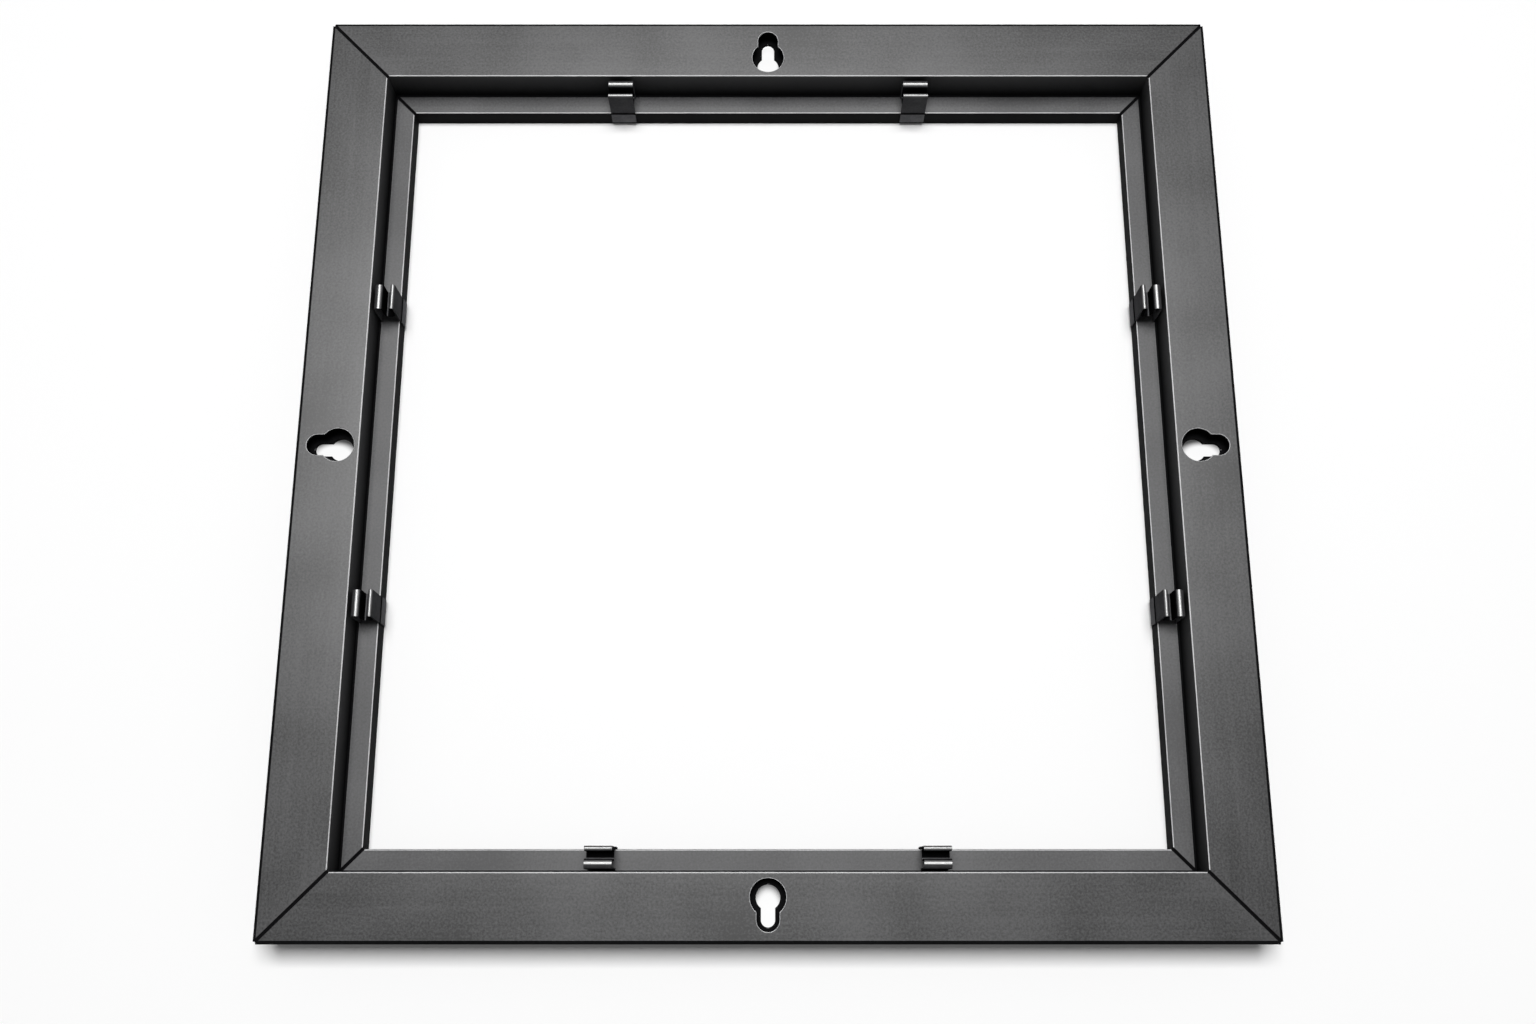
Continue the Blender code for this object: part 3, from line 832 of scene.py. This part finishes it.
@dataclass
class SpringClips:
    """Eight clips bent from flat strip, two on each rail, hooked through the lip."""

    rails: RailFrame
    width: float = 10.3 * MM
    strip: float = 0.6 * MM           # thickness
    play: float = 0.3 * MM            # gap to the ledge and to the lip
    crest_height: float = 17.0 * MM   # above the ledge
    valley_height: float = 7.0 * MM   # above the ledge
    wall_gap: float = 1.0 * MM        # from the step wall
    outer_bend: float = 1.5 * MM      # mean radius of the crest by the wall
    inner_bend: float = 0.6 * MM      # mean radius of the crest by the opening
    valley_bend: float = 0.8 * MM
    joggle: float = 0.3 * MM          # how far the inner leg steps out over the lip
    joggle_rise: float = 1.0 * MM
    hook_gap: float = 0.5 * MM
    hook_rise: float = 1.2 * MM
    hook_bend: float = 0.5 * MM
    burr: float = 0.12 * MM           # rounded edge of the sheared strip
    burr_step: float = math.radians(30.0)
    least_turn: float = 0.5           # keeps the section from stretching at a sharp corner
    highlight_lean: float = math.radians(12.0)    # how far the painted highlight bands lean to the opening
    outer_highlight: float = math.radians(22.0)   # half of the painted highlight band on the crest by the wall
    inner_highlight: float = math.radians(38.0)   # half of the painted highlight band on the crest by the opening
    valley_pale_width: float = 0.9 * MM
    tongue_facing: float = 0.5        # least part of the tongue's normal to the opening
    valley_facing: float = 0.3        # least upward part of the painted-light valley strip's normal
    arc_step: float = math.radians(6.0)
    crisp: float = math.radians(40.0)
    pieces: list[bpy.types.Object] = field(default_factory=list)

    def path(self) -> list[Vector]:
        """Draw the strip's middle line.

        Returns:
            Points as (u, z), from the foot on the ledge to the hook's tip.
        """
        rails = self.rails
        foot_u = rails.border + self.wall_gap + self.strip / 2.0
        crest_z = rails.ledge_z + self.crest_height - self.strip / 2.0
        valley_z = rails.ledge_z + self.valley_height + self.strip / 2.0
        lip_u = rails.lip_face + self.play + self.strip / 2.0
        leg_u = lip_u - self.joggle
        joggle_z = rails.ledge_z + 2.0 * self.play
        inner_u = leg_u - 2.0 * self.inner_bend
        outer_u = foot_u + 2.0 * self.outer_bend
        tip_u = rails.lip_face - rails.wall - self.hook_gap - self.strip / 2.0
        return rounded([
            (foot_u, rails.ledge_z + self.play, 0.0),
            (foot_u, crest_z, self.outer_bend),
            (outer_u, crest_z, self.outer_bend),
            (outer_u, valley_z, self.valley_bend),
            (inner_u, valley_z, self.valley_bend),
            (inner_u, crest_z, self.inner_bend),
            (leg_u, crest_z, self.inner_bend),
            (leg_u, joggle_z + self.joggle_rise, self.joggle),
            (lip_u, joggle_z, self.joggle),
            (lip_u, rails.hook_z, self.hook_bend),
            (tip_u, rails.hook_z, self.hook_bend),
            (tip_u, rails.hook_z + self.hook_rise, 0.0),
        ], False, self.arc_step)

    def mesh(self) -> bpy.types.Mesh:
        """Sweep the strip's rounded section along its middle line.

        Returns:
            The shaded mesh on the top rail, centred on X, with a material index on every face.
        """
        path = self.path()
        outline = rounded([(x * self.width / 2.0, n * self.strip / 2.0, self.burr)
                           for x, n in ((-1, -1), (1, -1), (1, 1), (-1, 1))], True, self.burr_step)
        bm = bmesh.new()
        rings = []
        for i, point in enumerate(path):
            back = (point - path[i - 1]).normalized() if i > 0 else None
            ahead = (path[i + 1] - point).normalized() if i + 1 < len(path) else None
            tangent = ((back or ahead) + (ahead or back)).normalized()
            across = Vector((-tangent.y, tangent.x))
            stretch = 1.0 / max(self.least_turn, tangent.dot(ahead or back))
            rings.append([bm.verts.new((x, self.rails.half - (point.x + across.x * n * stretch),
                                        point.y + across.y * n * stretch)) for x, n in outline])
        add_shell(bm, rings)
        mesh = smooth(mesh_from(bm, "spring_clip"), self.crisp)
        for face in mesh.polygons:
            face.material_index = self.face_kind(face).value
        return mesh

    def face_kind(self, face: bpy.types.MeshPolygon) -> ClipFace:
        """Tell which finish a face of the clip wears.

        Args:
            face: A face of the finished mesh, on the top rail.

        Returns:
            The finish: a painted highlight band on each crest, leaning to the opening, painted light
            on the tongue over the lip and at the bottom of the fold's outer leg, and painted shade
            in the rest of the fold and in the joggle.
        """
        rails = self.rails
        u = rails.half - face.center.y
        z = face.center.z
        crest_z = rails.ledge_z + self.crest_height
        outer_end = rails.border + self.wall_gap + self.strip + 2.0 * self.outer_bend
        reach = self.outer_highlight if u < outer_end else self.inner_highlight
        highlight_facing = Vector((0.0, -math.sin(self.highlight_lean), math.cos(self.highlight_lean)))
        # Painted highlight on the crest band.
        if z > crest_z - self.outer_bend and face.normal.dot(highlight_facing) > math.cos(reach):
            return ClipFace.BEND
        below_ledge = z < rails.ledge_z - rails.edge_radius
        on_tongue = below_ledge and face.normal.y < -self.tongue_facing
        in_valley = outer_end < u < outer_end + self.valley_pale_width
        # Painted light on the tongue and the valley strip.
        if on_tongue or (in_valley and face.normal.z > self.valley_facing):
            return ClipFace.PAINTED_LIGHT
        leg_back = rails.lip_face + self.play - self.joggle
        in_fold = outer_end - 2.0 * self.strip < u < leg_back and z < crest_z - self.inner_bend
        joggle_z = rails.ledge_z + 2.0 * self.play + self.joggle_rise / 2.0
        in_joggle = abs(z - joggle_z) < self.joggle_rise
        # Painted shade in the fold and the joggle.
        if in_fold or in_joggle:
            return ClipFace.FOLD
        return ClipFace.STRIP

    def build(self) -> None:
        """Make both clips on every side."""
        names = {
            Side.TOP: ("top_left", "top_right"),
            Side.LEFT: ("left_lower", "left_upper"),
            Side.BOTTOM: ("bottom_right", "bottom_left"),
            Side.RIGHT: ("right_upper", "right_lower"),
        }
        mesh = self.mesh()
        for side, pair in names.items():
            for name, x in zip(pair, self.rails.clip_places):
                place = side.turn @ Matrix.Translation((x, 0.0, 0.0))
                piece = add_object(f"bent_clip_{name}", mesh.copy(), place)
                mount(piece, f"clip_{name}", f"spring_clip_{name}")
                self.pieces.append(piece)

    def dress(self) -> None:
        """Give the strips, the painted highlight bands, the painted shade of the folds and the
        painted light of the tongues their finishes.
        """
        wear(self.pieces, (CLIP_STRIP, CLIP_BEND, CLIP_FOLD, CLIP_PAINTED_LIGHT))


@dataclass
class CornerJoints:
    """Corner keys in the rails' chambers and the socket screws that hold them from below."""

    nodes: dict[str, bpy.types.Object]
    shank_radius: float = 2.0 * MM
    head_radius: float = 3.7 * MM
    head_height: float = 2.2 * MM
    socket: float = 2.5 * MM          # across the flats
    socket_depth: float = 1.2 * MM
    edge: float = 0.55 * MM           # round of the head and chamfer of the tip
    steps: int = 48
    crisp: float = math.radians(35.0)
    pieces: list[bpy.types.Object] = field(default_factory=list)

    def screw_mesh(self, length: float) -> bpy.types.Mesh:
        """Turn one screw on the Z axis, head down, with its lowest point at Z = 0.

        Args:
            length: Overall length of the screw.

        Returns:
            The shaded mesh.
        """
        profile = [(rise, self.head_radius - inset) for inset, rise in quarter_round(self.edge)]
        profile += [
            (self.head_height, self.head_radius),
            (self.head_height, self.shank_radius),
            (length - self.edge, self.shank_radius),
            (length, self.shank_radius - self.edge),
        ]
        bm = bmesh.new()
        add_loft(bm, [(z, circle(radius, self.steps)) for z, radius in profile])
        hole = bmesh.new()
        hexagon = circle(self.socket / 2.0 / math.cos(math.pi / 6.0), 6)
        add_loft(hole, [(-self.edge, hexagon), (self.socket_depth, hexagon)])
        mesh = cut(mesh_from(bm, "key_screw"), mesh_from(hole, "key_screw_socket"))
        return smooth(mesh, self.crisp)

    def build(self) -> None:
        """Make a turned screw in the place of each CAD screw."""
        mesh = None
        for name in sorted(node for node in self.nodes if node.startswith("key_screw_")):
            low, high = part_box(name)
            if mesh is None:
                mesh = self.screw_mesh(high[2] - low[2])
            place = Matrix.Translation(((low[0] + high[0]) / 2.0, (low[1] + high[1]) / 2.0, low[2]))
            label = name.removeprefix("key_screw_")
            piece = add_object(f"socket_screw_{label}", mesh.copy(), place)
            mount(piece, "frame", name)
            self.pieces.append(piece)

    def dress(self) -> None:
        """Finish the screws and the CAD keys."""
        wear(self.pieces, (SCREW_PLATING,))
        keys = {name: node for name, node in self.nodes.items() if name.startswith("corner_key_")}
        for name, node in keys.items():
            node.data.materials.clear()
            LOG.info("%s keeps its CAD shape", name)
        wear(keys.values(), (KEY_CASTING,))


@dataclass
class Studio:
    """White floor, a lamp for the light and one for the sheen, even sky and the camera."""

    half: float                       # half of the frame's side
    top: float                        # height of the frame
    image_width: float = 1536.0
    image_height: float = 1024.0
    focal_px: float = 1740.0
    principal_y_px: float = 340.0     # where the camera's axis meets the image
    sensor_mm: float = 36.0
    pitch: float = math.radians(71.63)
    camera_y: float = -175.9 * MM
    camera_rise: float = 659.6 * MM   # above the frame
    floor_size: float = 6.0
    floor_cells: int = 8
    key_place: tuple[float, float, float] = (0.0, 0.22, 2.2)
    key_size: tuple[float, float] = (0.9, 0.6)
    key_power: float = 49.5
    sheen_place: tuple[float, float, float] = (-0.05, 0.82, 3.0)
    sheen_size: tuple[float, float] = (1.2, 0.75)
    sheen_power: float = 124.0
    sky_light: float = 0.12

    def build(self) -> None:
        """Set up the whole studio."""
        scene = bpy.context.scene
        scene.view_settings.view_transform = "Standard"
        self.add_floor()
        key = self.add_lamp("key_lamp", self.key_place, self.key_size, self.key_power)
        key.visible_glossy = False
        sheen = self.add_lamp("sheen_panel", self.sheen_place, self.sheen_size, self.sheen_power)
        sheen.visible_diffuse = False
        self.add_sky()
        scene.camera = self.add_camera()

    def add_floor(self) -> None:
        """Lay the paper that the frame rests on."""
        bm = bmesh.new()
        bmesh.ops.create_grid(bm, x_segments=self.floor_cells, y_segments=self.floor_cells,
                              size=self.floor_size / 2.0)
        mesh = bpy.data.meshes.new("paper_floor")
        bm.to_mesh(mesh)
        bm.free()
        floor = add_object("paper_floor", mesh)
        mesh.materials.append(WhiteSweep().material(self.half))
        floor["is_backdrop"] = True

    def add_lamp(self, name: str, place: tuple[float, float, float], size: tuple[float, float],
                 power: float) -> bpy.types.Object:
        """Hang one broad lamp that faces the frame.

        Args:
            name: The lamp's name.
            place: Where it hangs.
            size: Its width and depth.
            power: Its power in watts.

        Returns:
            The lamp object.
        """
        data = bpy.data.lights.new(name, "AREA")
        data.shape = "RECTANGLE"
        data.size, data.size_y = size
        data.energy = power
        lamp = add_object(name, data)
        lamp.location = place
        lamp.rotation_euler = Vector(place).to_track_quat("Z", "Y").to_euler()
        lamp.visible_camera = False
        return lamp

    def add_sky(self) -> None:
        """Light the scene evenly, with plain white where the sky itself is seen."""
        world = bpy.data.worlds.new("even_sky")
        bpy.context.scene.world = world
        world.use_nodes = True
        tree = world.node_tree
        tree.nodes.clear()
        strength = add_node(tree, "ShaderNodeMapRange", {
            "Value": add_seen(tree), "To Min": self.sky_light, "To Max": 1.0})
        sky = add_node(tree, "ShaderNodeBackground", {
            "Color": linear(PLAIN_WHITE), "Strength": strength.outputs["Result"]})
        add_node(tree, "ShaderNodeOutputWorld", {"Surface": sky.outputs["Background"]})

    def add_camera(self) -> bpy.types.Object:
        """Place the camera above the front edge, looking down and back.

        Returns:
            The camera object.
        """
        data = bpy.data.cameras.new("camera")
        data.sensor_fit = "HORIZONTAL"
        data.sensor_width = self.sensor_mm
        data.lens = self.focal_px * self.sensor_mm / self.image_width
        data.shift_y = (self.principal_y_px - self.image_height / 2.0) / self.image_width
        camera = add_object("camera", data)
        camera.location = (0.0, self.camera_y, self.top + self.camera_rise)
        camera.rotation_euler = (QUARTER_TURN - self.pitch, 0.0, 0.0)
        return camera


def main() -> None:
    """Load the frame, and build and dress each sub-assembly."""
    logging.basicConfig(level=logging.INFO, format="%(message)s")
    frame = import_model()
    cad_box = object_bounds()
    half = float(cad_box[1][0])
    top = float(cad_box[1][2])
    lip_face = half - float(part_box("rail_top")[0][1])

    rails = RailFrame(half=half, height=top, lip_face=lip_face)
    clips = SpringClips(rails=rails)
    joints = CornerJoints(nodes=frame["nodes"])
    for assembly in (rails, clips, joints):
        assembly.build()
        assembly.dress()
    Studio(half=half, top=top).build()


if __name__ == "__main__":
    main()
